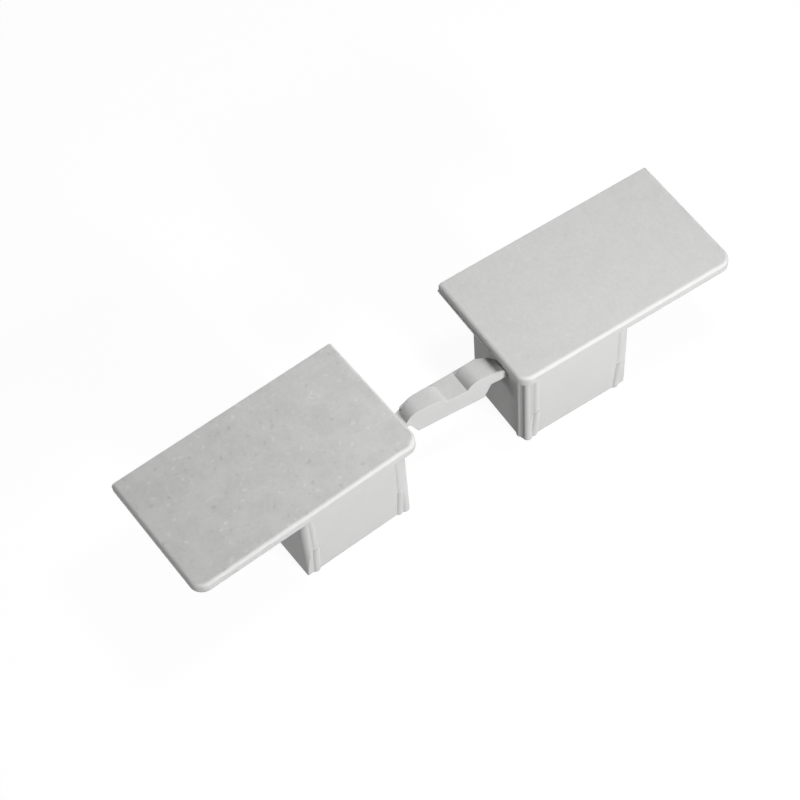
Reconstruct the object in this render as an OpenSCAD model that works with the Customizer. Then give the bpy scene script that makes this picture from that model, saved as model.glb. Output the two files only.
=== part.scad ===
// Roller shutter end cap: a left and a right guide rail cap, moulded as one piece
// with a break-off link between them. Each cap is a thin cover plate on a hollow plug.
// Sizes are in millimetres. The moulding stands on the free ends of its plugs.

/* [Plate] */
// Length of each plate, from the link side to its outer end
plate_l = 46; // [40:0.5:60]
// Width of each plate, from front to back
plate_w = 26; // [22:0.5:34]
// Thickness of each plate
plate_t = 2; // [1.4:0.1:3]
// Radius of the plate's two front corners
plate_corner_r = 2.5; // [1.2:0.1:4]
// Rounding of the plate's upper edge, along its front and both ends
plate_edge_r = 0.7; // [0.2:0.1:0.9]
// How far the lip at the foot of the plate's link side end stands out
lip_out = 0.25; // [0.15:0.05:0.8]
// Height of that lip
lip_h = 0.4; // [0.2:0.1:0.8]
// From the plate's front edge to the start of that lip
lip_start = 9.8; // [6:0.2:16]

/* [Plug] */
// Length of each plug along its plate
plug_l = 22.8; // [19:0.2:27]
// Width of each plug from front to back
plug_w = 16.6; // [13:0.2:18]
// Height of each plug below its plate
plug_h = 21.4; // [18:0.2:30]
// Step from the plate's link side end in to the plug
plug_step = 1.7; // [0.8:0.1:4]
// Step from the plate's front edge back to the plug
plug_setback = 1.5; // [1:0.1:4]
// Wall of the hollow plug
plug_wall = 1.7; // [1.4:0.1:2.4]
// Radius of the plug's front corner on the link side
plug_corner_r = 2.5; // [1.5:0.1:3]
// Radius of the plug's front corner on its outer side
plug_outer_r = 1.5; // [0.5:0.1:3]
// Radius of the plug's back corners and of its inside corners
plug_edge_r = 0.6; // [0.3:0.1:1]
// Height of the tapered lead-in at the plug's free end
lead_h = 9; // [5:0.5:12]
// How far the lead-in draws in at the front and at the back
lead_in = 0.9; // [0.1:0.05:1]

/* [Ribs] */
// Radius of the round ribs that grip the rail at the plug's front corners
rib_r = 0.9; // [0.6:0.05:1.2]
// How far the ribs stand out on the upright part of the plug
rib_out = 0.2; // [0.1:0.05:0.4]
// How far the front ribs stand out on the lead-in
rib_lead_out = 0.35; // [0.1:0.05:0.5]
// From the plug's outer side in to its outer rib
rib_in = 2; // [1.6:0.1:5]

/* [Link] */
// Gap between the two plates
gap = 21.5; // [18:0.5:30]
// From the plates' front edge to the front of the link at its left end
link_front_left = 8.6; // [6:0.1:10]
// From the plates' front edge to the front of the link at its right end
link_front_right = 6.8; // [6:0.1:10]
// From the plates' front edge to the back of the link
link_back = 12.3; // [11.5:0.1:15]
// Width of the link where it breaks off the left plug
neck_w_left = 1.6; // [1:0.1:3]
// Width of the link where it breaks off the right plug
neck_w_right = 3.5; // [1:0.1:4]
// Length over which the link draws in to its left end
draw_left = 7.6; // [3:0.1:9]
// Length over which the link draws in to its right end
draw_right = 4; // [2:0.1:9]
// From the underside of the plates down to the top of the link's humps
link_drop = 2.3; // [1:0.1:5]
// Height of the link from its foot to the top of its humps
link_h = 6.1; // [4.5:0.1:8]
// How far the middle of the humps lies to the right of the middle of the gap
link_shift = 2.15; // [0:0.05:3]
// Length of the flat top of each hump
hump_flat = 2.7; // [1:0.1:4]
// Radius of the humps' rounded ends
hump_r = 3; // [2:0.1:3.1]
// Distance between the middles of the humps
hump_pitch = 12; // [10:0.1:14]
// Depth of the pocket between the humps
pocket_d = 1.5; // [0.5:0.1:1.8]
// Width of the ledge behind the humps, level with the floor of the pocket
ledge_w = 0.8; // [0.5:0.1:1.8]
// Length of the flat foot below the pocket
foot_l = 13.4; // [10:0.1:16]
// How far the middle of the foot lies to the right of the middle of the gap
foot_shift = 0.8; // [0:0.1:2]
// Run of the slope at each end of the foot
foot_run = 1.5; // [0.5:0.1:3]
// Thickness of the necks where the link breaks off the plugs
neck_t = 1; // [0.6:0.1:1.8]
// From the tops of the humps down to the underside of the necks
neck_drop = 3.1; // [2:0.1:4]

/* [Set] */
// Angle that the left cap has been turned by the bent link
set_turn = 3.9; // [0:0.1:6]
// How far the bent link has carried the left cap to the back
set_step = 1.25; // [0:0.05:2]

/* [Hidden] */
$fn = 64;

plate_far = gap / 2 + plate_l;
lead_angle = atan(lead_in / lead_h);
link_end = gap / 2 + plug_step;
link_reach = link_end + plug_wall / 2;
neck_left_y = link_front_left + neck_w_left;
neck_right_y = link_front_right + neck_w_right;
crest_z = plug_h - link_drop;
neck_z = crest_z - neck_drop;
floor_z = crest_z - pocket_d;
foot_z = crest_z - link_h;
hump_left = link_shift - hump_pitch / 2;
hump_right = link_shift + hump_pitch / 2;
foot_left = foot_shift - foot_l / 2;
foot_right = foot_shift + foot_l / 2;

// Where the bent link carries a point of the left cap, about the middle of the gap
function set_x(x, y) = x * cos(set_turn) - (y - plate_w / 2) * sin(set_turn);
function set_y(x, y) = plate_w / 2 + x * sin(set_turn) + (y - plate_w / 2) * cos(set_turn) + set_step;

// The middle of the moulding in plan, which is its origin
middle_x = (plate_far + set_x(-plate_far, plate_w)) / 2;
front_y = min(0, set_y(plate_corner_r - plate_far, plate_corner_r) - plate_corner_r);
back_y = max(plate_w, set_y(-gap / 2, plate_w));
middle_y = (front_y + back_y) / 2;

// The waste outside a round of radius r in a corner at the origin
module corner_waste(r) {
    difference() {
        square(r);
        translate([r, r]) circle(r);
    }
}

// A rectangle with its own radius at each corner, counted round from the origin
module rounded_rectangle(length, width, radii) {
    corners = [[0, 0], [length, 0], [length, width], [0, width]];
    difference() {
        square([length, width]);
        for (i = [0 : 3])
            translate(corners[i]) rotate(90 * i) corner_waste(radii[i]);
    }
}

// Stands a flat outline upright and runs it from front to back
module across(front, back) {
    translate([0, back, 0]) rotate([90, 0, 0]) linear_extrude(back - front) children();
}

// Section of the plate's rim, rounded at its upper outer edge
module rim_section() {
    difference() {
        square([plate_corner_r, plate_t]);
        translate([plate_corner_r, plate_t]) rotate(180) corner_waste(plate_edge_r);
    }
}

// Half of the plate's rim: half of its front, one front corner and one end
module half_rim() {
    translate([plate_l / 2, plate_corner_r, 0])
        rotate([90, 0, -90]) linear_extrude(plate_l / 2 - plate_corner_r) rim_section();
    translate([plate_corner_r, plate_corner_r, 0])
        rotate(180) rotate_extrude(angle = 90) rim_section();
    translate([plate_corner_r, plate_corner_r, 0])
        rotate([90, 0, 180]) linear_extrude(plate_w - plate_corner_r) rim_section();
}

module plate() {
    translate([plate_corner_r, plate_corner_r, 0])
        cube([plate_l - 2 * plate_corner_r, plate_w - plate_corner_r, plate_t]);
    half_rim();
    translate([plate_l, 0, 0]) mirror([1, 0, 0]) half_rim();
}

// Small ledge along the plate's link side end, from the link to the back
module lip() {
    translate([-lip_out, lip_start, 0])
        cube([lip_out + plate_corner_r, plate_w - lip_start, lip_h]);
}

// End view of the plug: upright walls, drawn in at the front and the back of the free end
module lead_outline() {
    polygon([
        [lead_in, 0], [plug_w - lead_in, 0], [plug_w, lead_h],
        [plug_w, plug_h], [0, plug_h], [0, lead_h]
    ]);
}

// Rib down the plug's front, which stands out further along the slope of the lead-in
module front_rib() {
    translate([0, 0, lead_h]) {
        translate([0, rib_r - rib_out, 0]) cylinder(h = plug_h - lead_h, r = rib_r);
        rotate([lead_angle, 0, 0])
            translate([0, rib_r - rib_lead_out, -plug_h]) cylinder(h = plug_h, r = rib_r);
    }
}

// Upright rib round the plug's link side front corner, turned about the middle of that corner
module corner_rib(turn) {
    translate([plug_corner_r, plug_corner_r, 0]) rotate(turn)
        translate([0, rib_r - rib_out - plug_corner_r, 0]) cylinder(h = plug_h, r = rib_r);
}

// All the ribs, cut level with the plug's free end
module ribs() {
    intersection() {
        union() {
            translate([plug_corner_r, 0, 0]) front_rib();
            translate([plug_l - rib_in, 0, 0]) front_rib();
            corner_rib(-45);
            corner_rib(-90);
        }
        translate([-rib_r, -rib_r, 0]) cube([plug_l + 2 * rib_r, plug_w, plug_h]);
    }
}

module plug() {
    inside_l = plug_l - 2 * plug_wall;
    inside_w = plug_w - 2 * plug_wall;
    difference() {
        union() {
            intersection() {
                linear_extrude(plug_h)
                    rounded_rectangle(plug_l, plug_w, [plug_corner_r, plug_outer_r, plug_edge_r, plug_edge_r]);
                rotate([90, 0, 90]) linear_extrude(plug_l) lead_outline();
            }
            ribs();
        }
        translate([plug_wall, plug_wall, 0]) linear_extrude(plug_h)
            rounded_rectangle(inside_l, inside_w, [plug_edge_r, plug_edge_r, plug_edge_r, plug_edge_r]);
    }
}

// One cap, with its link side end at x = 0 and its front edge at y = 0
module cap() {
    translate([0, 0, plug_h]) plate();
    translate([0, 0, plug_h]) lip();
    translate([plug_step, plug_setback, 0]) plug();
}

// Front view of one hump, with its middle at x = 0: a flat top between two rounded ends
module hump_outline() {
    translate([-hump_flat / 2, neck_z]) square([hump_flat, neck_drop]);
    intersection() {
        for (side = [-1, 1])
            translate([side * hump_flat / 2, crest_z - hump_r]) circle(hump_r);
        translate([-hump_pitch / 2, neck_z]) square([hump_pitch, neck_drop]);
    }
}

// Front view of the link's body: a foot below the pocket and a flat neck to each plug
module body_outline() {
    translate([-link_reach, neck_z]) square([2 * link_reach, neck_t]);
    polygon([
        [foot_left, foot_z], [foot_right, foot_z],
        [foot_right + foot_run, neck_z], [foot_right + foot_run, floor_z],
        [foot_left - foot_run, floor_z], [foot_left - foot_run, neck_z]
    ]);
}

// The link from above: it draws in to both ends, and its roots lie within the plugs' walls
module link_plan() {
    polygon([
        [-link_reach, link_front_left], [link_reach, link_front_right],
        [link_reach, neck_right_y], [link_end, neck_right_y],
        [link_end - draw_right, link_back], [draw_left - link_end, link_back],
        [-link_end, neck_left_y], [-link_reach, neck_left_y]
    ]);
}

module link() {
    intersection() {
        across(0, link_back) body_outline();
        linear_extrude(plug_h) link_plan();
    }
    intersection() {
        across(0, link_back) {
            translate([hump_left, 0]) hump_outline();
            translate([hump_right, 0]) hump_outline();
        }
        linear_extrude(plug_h) link_plan();
        linear_extrude(plug_h) translate([0, -ledge_w]) link_plan();
    }
}

module end_cap_pair() {
    color("gainsboro")
    translate([-middle_x, -middle_y, 0]) {
        translate([gap / 2, 0, 0]) cap();
        translate([0, plate_w / 2 + set_step, 0]) rotate(set_turn) translate([-gap / 2, -plate_w / 2, 0])
            mirror([1, 0, 0]) cap();
        link();
    }
}

end_cap_pair();
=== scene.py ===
import math
import bpy
from mathutils import Matrix, Vector


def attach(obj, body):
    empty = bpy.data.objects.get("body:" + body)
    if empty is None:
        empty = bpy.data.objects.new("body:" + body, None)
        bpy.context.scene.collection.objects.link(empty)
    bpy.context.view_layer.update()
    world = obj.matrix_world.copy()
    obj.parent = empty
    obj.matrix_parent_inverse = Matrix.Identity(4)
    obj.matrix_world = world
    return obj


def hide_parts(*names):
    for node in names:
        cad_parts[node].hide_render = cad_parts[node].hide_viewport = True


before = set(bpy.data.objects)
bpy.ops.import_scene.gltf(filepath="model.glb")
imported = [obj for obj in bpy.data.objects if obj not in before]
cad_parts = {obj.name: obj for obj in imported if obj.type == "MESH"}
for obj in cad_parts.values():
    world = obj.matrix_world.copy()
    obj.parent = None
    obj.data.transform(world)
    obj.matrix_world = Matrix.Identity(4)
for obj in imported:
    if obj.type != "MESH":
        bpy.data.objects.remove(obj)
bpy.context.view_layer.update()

mm = 0.001
print("frame loaded")


# Camera at the photograph's angle
cameraSet = {
    "place": (-97.3, -167.6, 313.6),  # mm
    "aim": (-7.9, -2.6, 23.4),  # mm, on the plates' top face
    "roll": -5.7,  # degrees, the picture leans a little
    "lens": 90.6,  # mm
    "near": 0.01,  # m
    "far": 20,  # m
}


def makeCamera():
    data = bpy.data.cameras.new("photoCamera")
    data.lens = cameraSet["lens"]
    data.clip_start = cameraSet["near"]
    data.clip_end = cameraSet["far"]
    camera = bpy.data.objects.new("photoCamera", data)
    bpy.context.scene.collection.objects.link(camera)
    place = Vector(cameraSet["place"]) * mm
    aim = Vector(cameraSet["aim"]) * mm
    turn = (aim - place).to_track_quat("-Z", "Y").to_matrix().to_4x4()
    roll = Matrix.Rotation(math.radians(cameraSet["roll"]), 4, "Z")
    camera.matrix_world = Matrix.Translation(place) @ turn @ roll
    bpy.context.scene.camera = camera


makeCamera()
print("camera placed")


# Soft studio light: a low key in front, a small lamp above, and weak fills from the left and from behind
lightSet = {  # angles in degrees, azimuth 0 in front and 90 on the right; distance and size in m
    "key": {"azimuth": 13, "elevation": 22, "distance": 0.45, "size": 0.1, "power": 2.07},
    "top": {"azimuth": 75, "elevation": 76, "distance": 0.195, "size": 0.05, "power": 0.156},
    "left": {"azimuth": -76, "elevation": 5, "distance": 0.9, "size": 0.14, "power": 0.65},
    "backLeft": {"azimuth": -116, "elevation": 8, "distance": 0.9, "size": 0.2, "power": 1.6},
    "backRight": {"azimuth": 140, "elevation": 8, "distance": 0.9, "size": 0.2, "power": 2.0},
}
worldSet = {
    "light": 0.006,  # what the object gathers of it
    "seen": 1.0,  # white
}


def makeLamp(name):
    values = lightSet[name]
    azimuth = math.radians(values["azimuth"])
    elevation = math.radians(values["elevation"])
    towards = Vector((
        math.sin(azimuth) * math.cos(elevation),
        -math.cos(azimuth) * math.cos(elevation),
        math.sin(elevation),
    ))
    data = bpy.data.lights.new(name + "Lamp", "AREA")
    data.shape = "DISK"
    data.size = values["size"]
    data.energy = values["power"]
    lamp = bpy.data.objects.new(name + "Lamp", data)
    bpy.context.scene.collection.objects.link(lamp)
    lamp.location = towards * values["distance"]
    lamp.rotation_euler = towards.to_track_quat("Z", "Y").to_euler()


def whereSeen(nodes, links):
    # 1 for the rays that see the background itself, 0 for those that only gather its light
    path = nodes.new("ShaderNodeLightPath")
    seen = path.outputs["Is Camera Ray"]
    for ray in ("Is Glossy Ray", "Is Transmission Ray"):
        either = nodes.new("ShaderNodeMath")
        either.operation = "MAXIMUM"
        links.new(seen, either.inputs[0])
        links.new(path.outputs[ray], either.inputs[1])
        seen = either.outputs[0]
    return seen


def makeWorld():
    world = bpy.data.worlds.new("studioWorld")
    bpy.context.scene.world = world
    world.use_nodes = True
    nodes = world.node_tree.nodes
    links = world.node_tree.links
    nodes.clear()
    soft = nodes.new("ShaderNodeBackground")
    soft.inputs["Color"].default_value = (1, 1, 1, 1)
    soft.inputs["Strength"].default_value = worldSet["light"]
    white = nodes.new("ShaderNodeBackground")
    white.inputs["Color"].default_value = (1, 1, 1, 1)
    white.inputs["Strength"].default_value = worldSet["seen"]
    mixed = nodes.new("ShaderNodeMixShader")
    out = nodes.new("ShaderNodeOutputWorld")
    links.new(whereSeen(nodes, links), mixed.inputs[0])
    links.new(soft.outputs[0], mixed.inputs[1])
    links.new(white.outputs[0], mixed.inputs[2])
    links.new(mixed.outputs[0], out.inputs["Surface"])


for lampName in lightSet:
    makeLamp(lampName)
makeWorld()
print("lights set")


# Pale floor that shows as white and keeps a soft shadow
floorSet = {
    "size": 6.0,  # m
    "bounce": (0.04, 0.04, 0.04, 1),  # what the object gathers of it
    "shade": (0.08, 0.08, 0.08, 1),  # what shows of its shadows
    "lift": 0.945,  # its own light, which brings it to white
}


def makeFloor():
    bpy.ops.object.select_all(action="DESELECT")
    bpy.ops.mesh.primitive_plane_add(size=floorSet["size"], location=(0, 0, 0))
    floor = bpy.context.object
    floor.name = "studioFloor"
    material = bpy.data.materials.new("paleFloor")
    material.use_nodes = True
    nodes = material.node_tree.nodes
    links = material.node_tree.links
    nodes.clear()
    dim = nodes.new("ShaderNodeBsdfDiffuse")
    dim.inputs["Color"].default_value = floorSet["bounce"]
    shade = nodes.new("ShaderNodeBsdfDiffuse")
    shade.inputs["Color"].default_value = floorSet["shade"]
    lift = nodes.new("ShaderNodeEmission")
    lift.inputs["Strength"].default_value = floorSet["lift"]
    white = nodes.new("ShaderNodeAddShader")
    mixed = nodes.new("ShaderNodeMixShader")
    out = nodes.new("ShaderNodeOutputMaterial")
    links.new(shade.outputs[0], white.inputs[0])
    links.new(lift.outputs[0], white.inputs[1])
    links.new(whereSeen(nodes, links), mixed.inputs[0])
    links.new(dim.outputs[0], mixed.inputs[1])
    links.new(white.outputs[0], mixed.inputs[2])
    links.new(mixed.outputs[0], out.inputs["Surface"])
    floor.data.materials.append(material)


makeFloor()
print("floor laid")


# Light grey moulded plastic: a mottled skin with stray specks, fine scratches and ring marks on the tops
plasticSet = {
    "tone": (0.622, 0.622, 0.617),
    "roughness": (0.58, 0.7),
    "glow": 0.5,  # share of the light that travels under the skin
    "glowDepth": 0.0008,  # m
    "noiseLow": 0.3,  # noise from this value to the next is spread over the full range
    "noiseHigh": 0.7,
    "noiseMiddle": 0.5,
    "skinDetail": 2,  # finer layers of noise in the mottle and the grain
    "markDetail": 1,  # and in the specks and the scratches
    "mottle": 0.036,
    "mottleScale": 280,  # per metre
    "grain": 0.022,
    "grainScale": 1900,
    "grainHeight": 0.000012,  # m
    "grainBump": 0.3,  # how strongly that height shades
    "speck": 0.13,
    "speckScale": 680,
    "speckFrom": 0.12,  # how far the noise strays from its middle before a speck shows
    "speckFull": 0.28,
    "scratch": 0.03,
    "scratchScale": (70, 1500, 200),
    "scratchTurn": 24,  # degrees
    "scratchFrom": 0.68,
    "scratchFull": 0.76,
    "ring": 0.045,
    "ringWidth": 0.4,  # mm
    "rings": [((-47.7, 4.3, 23.4), 2.2), ((-20.0, 6.2, 23.4), 1.1)],  # mm, place and radius
    "wornFrom": 0.006,  # m along X, the left cap is the more worn
    "wornTo": -0.012,
    "leastWear": 0.35,
    "sideWear": 0.2,  # what the upright faces show of it
    "topFrom": 0.8,  # upward share of a face's direction at which it begins to count as a top
    "topFull": 0.98,
}


def makeSkin(tree):
    # Returns the tone multiplier and the grain as node sockets
    nodes, links = tree.nodes, tree.links
    noiseLow, noiseHigh = plasticSet["noiseLow"], plasticSet["noiseHigh"]

    def maths(operation, *values):
        node = nodes.new("ShaderNodeMath")
        node.operation = operation
        for socket, value in zip(node.inputs, values):
            if isinstance(value, (int, float)):
                socket.default_value = value
            else:
                links.new(value, socket)
        return node.outputs[0]

    def ranged(value, low, high, least, most):
        node = nodes.new("ShaderNodeMapRange")
        node.interpolation_type = "SMOOTHSTEP"
        links.new(value, node.inputs["Value"])
        node.inputs["From Min"].default_value = low
        node.inputs["From Max"].default_value = high
        node.inputs["To Min"].default_value = least
        node.inputs["To Max"].default_value = most
        return node.outputs["Result"]

    def noise(vector, scale, detail):
        node = nodes.new("ShaderNodeTexNoise")
        node.inputs["Scale"].default_value = scale
        node.inputs["Detail"].default_value = detail
        links.new(vector, node.inputs["Vector"])
        return node.outputs["Fac"]

    space = nodes.new("ShaderNodeTexCoord")
    place = space.outputs["Object"]
    split = nodes.new("ShaderNodeSeparateXYZ")
    links.new(place, split.inputs[0])
    facing = nodes.new("ShaderNodeSeparateXYZ")
    links.new(space.outputs["Normal"], facing.inputs[0])
    onTop = ranged(
        facing.outputs["Z"], plasticSet["topFrom"], plasticSet["topFull"], plasticSet["sideWear"], 1)
    along = ranged(
        split.outputs["X"], plasticSet["wornTo"], plasticSet["wornFrom"], 1, plasticSet["leastWear"])
    worn = maths("MULTIPLY", onTop, along)

    mottle = ranged(
        noise(place, plasticSet["mottleScale"], plasticSet["skinDetail"]),
        noiseLow, noiseHigh, -plasticSet["mottle"], plasticSet["mottle"])
    grain = noise(place, plasticSet["grainScale"], plasticSet["skinDetail"])
    grainTone = ranged(grain, noiseLow, noiseHigh, -plasticSet["grain"], plasticSet["grain"])
    speckNoise = noise(place, plasticSet["speckScale"], plasticSet["markDetail"])
    stray = maths("SUBTRACT", speckNoise, plasticSet["noiseMiddle"])
    light = ranged(stray, plasticSet["speckFrom"], plasticSet["speckFull"], 0, plasticSet["speck"])
    dark = ranged(stray, -plasticSet["speckFull"], -plasticSet["speckFrom"], -plasticSet["speck"], 0)

    drawn = nodes.new("ShaderNodeMapping")
    drawn.inputs["Rotation"].default_value[2] = math.radians(plasticSet["scratchTurn"])
    drawn.inputs["Scale"].default_value = plasticSet["scratchScale"]
    links.new(place, drawn.inputs["Vector"])
    scratch = ranged(
        noise(drawn.outputs[0], 1, plasticSet["markDetail"]),  # already scaled
        plasticSet["scratchFrom"], plasticSet["scratchFull"], 0, plasticSet["scratch"])

    marks = maths("ADD", maths("ADD", light, dark), maths("ADD", scratch, mottle))
    for centre, radius in plasticSet["rings"]:
        away = nodes.new("ShaderNodeVectorMath")
        away.operation = "DISTANCE"
        away.inputs[1].default_value = Vector(centre) * mm
        links.new(place, away.inputs[0])
        offRing = maths("ABSOLUTE", maths("SUBTRACT", away.outputs["Value"], radius * mm))
        ring = ranged(offRing, 0, plasticSet["ringWidth"] * mm, plasticSet["ring"], 0)
        marks = maths("ADD", marks, ring)

    grained = maths("MULTIPLY", grainTone, onTop)
    return maths("ADD", maths("MULTIPLY_ADD", marks, worn, 1), grained), grain


def makePlastic():
    material = bpy.data.materials.new("capPlastic")
    material.use_nodes = True
    tree = material.node_tree
    nodes, links = tree.nodes, tree.links
    nodes.clear()
    skin, grain = makeSkin(tree)
    toned = nodes.new("ShaderNodeVectorMath")
    toned.operation = "SCALE"
    toned.inputs[0].default_value = plasticSet["tone"]
    links.new(skin, toned.inputs["Scale"])
    rough = nodes.new("ShaderNodeMapRange")
    rough.inputs["To Min"].default_value = plasticSet["roughness"][0]
    rough.inputs["To Max"].default_value = plasticSet["roughness"][1]
    bump = nodes.new("ShaderNodeBump")
    bump.inputs["Strength"].default_value = plasticSet["grainBump"]
    bump.inputs["Distance"].default_value = plasticSet["grainHeight"]
    shader = nodes.new("ShaderNodeBsdfPrincipled")
    shader.inputs["Subsurface Weight"].default_value = plasticSet["glow"]
    shader.inputs["Subsurface Radius"].default_value = (1, 1, 1)
    shader.inputs["Subsurface Scale"].default_value = plasticSet["glowDepth"]
    out = nodes.new("ShaderNodeOutputMaterial")
    links.new(grain, rough.inputs["Value"])
    links.new(grain, bump.inputs["Height"])
    links.new(toned.outputs["Vector"], shader.inputs["Base Color"])
    links.new(rough.outputs["Result"], shader.inputs["Roughness"])
    links.new(bump.outputs["Normal"], shader.inputs["Normal"])
    links.new(shader.outputs[0], out.inputs["Surface"])
    return material


# The moulding: the solid's own mesh with its edges broken, as they leave the mould
mouldingSet = {
    "weld": 0.002,  # mm
    "flat": 0.5,  # degrees, triangles this level become one face
    "edge": 0.18,  # mm
    "sharp": 34,  # degrees
    "segments": 3,
}


def makeMoulding():
    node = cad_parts["end_cap_pair"]
    piece = bpy.data.objects.new("capMoulding", node.data.copy())
    bpy.context.scene.collection.objects.link(piece)
    bpy.ops.object.select_all(action="DESELECT")
    piece.select_set(True)
    bpy.context.view_layer.objects.active = piece
    bpy.ops.object.mode_set(mode="EDIT")
    bpy.ops.mesh.select_all(action="SELECT")
    bpy.ops.mesh.remove_doubles(threshold=mouldingSet["weld"] * mm)
    bpy.ops.mesh.dissolve_limited(angle_limit=math.radians(mouldingSet["flat"]))
    bpy.ops.object.mode_set(mode="OBJECT")
    bevel = piece.modifiers.new("brokenEdges", "BEVEL")
    bevel.limit_method = "ANGLE"
    bevel.angle_limit = math.radians(mouldingSet["sharp"])
    bevel.width = mouldingSet["edge"] * mm
    bevel.segments = mouldingSet["segments"]
    bevel.use_clamp_overlap = True
    bpy.ops.object.modifier_apply(modifier=bevel.name)
    bpy.ops.object.shade_smooth_by_angle(angle=math.radians(mouldingSet["sharp"]))
    even = piece.modifiers.new("evenShade", "WEIGHTED_NORMAL")
    even.keep_sharp = True
    bpy.ops.object.modifier_apply(modifier=even.name)
    piece.data.materials.clear()
    piece.data.materials.append(makePlastic())
    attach(piece, "root")
    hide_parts("end_cap_pair")


makeMoulding()
print("moulding made")

bpy.context.scene.view_settings.view_transform = "Standard"
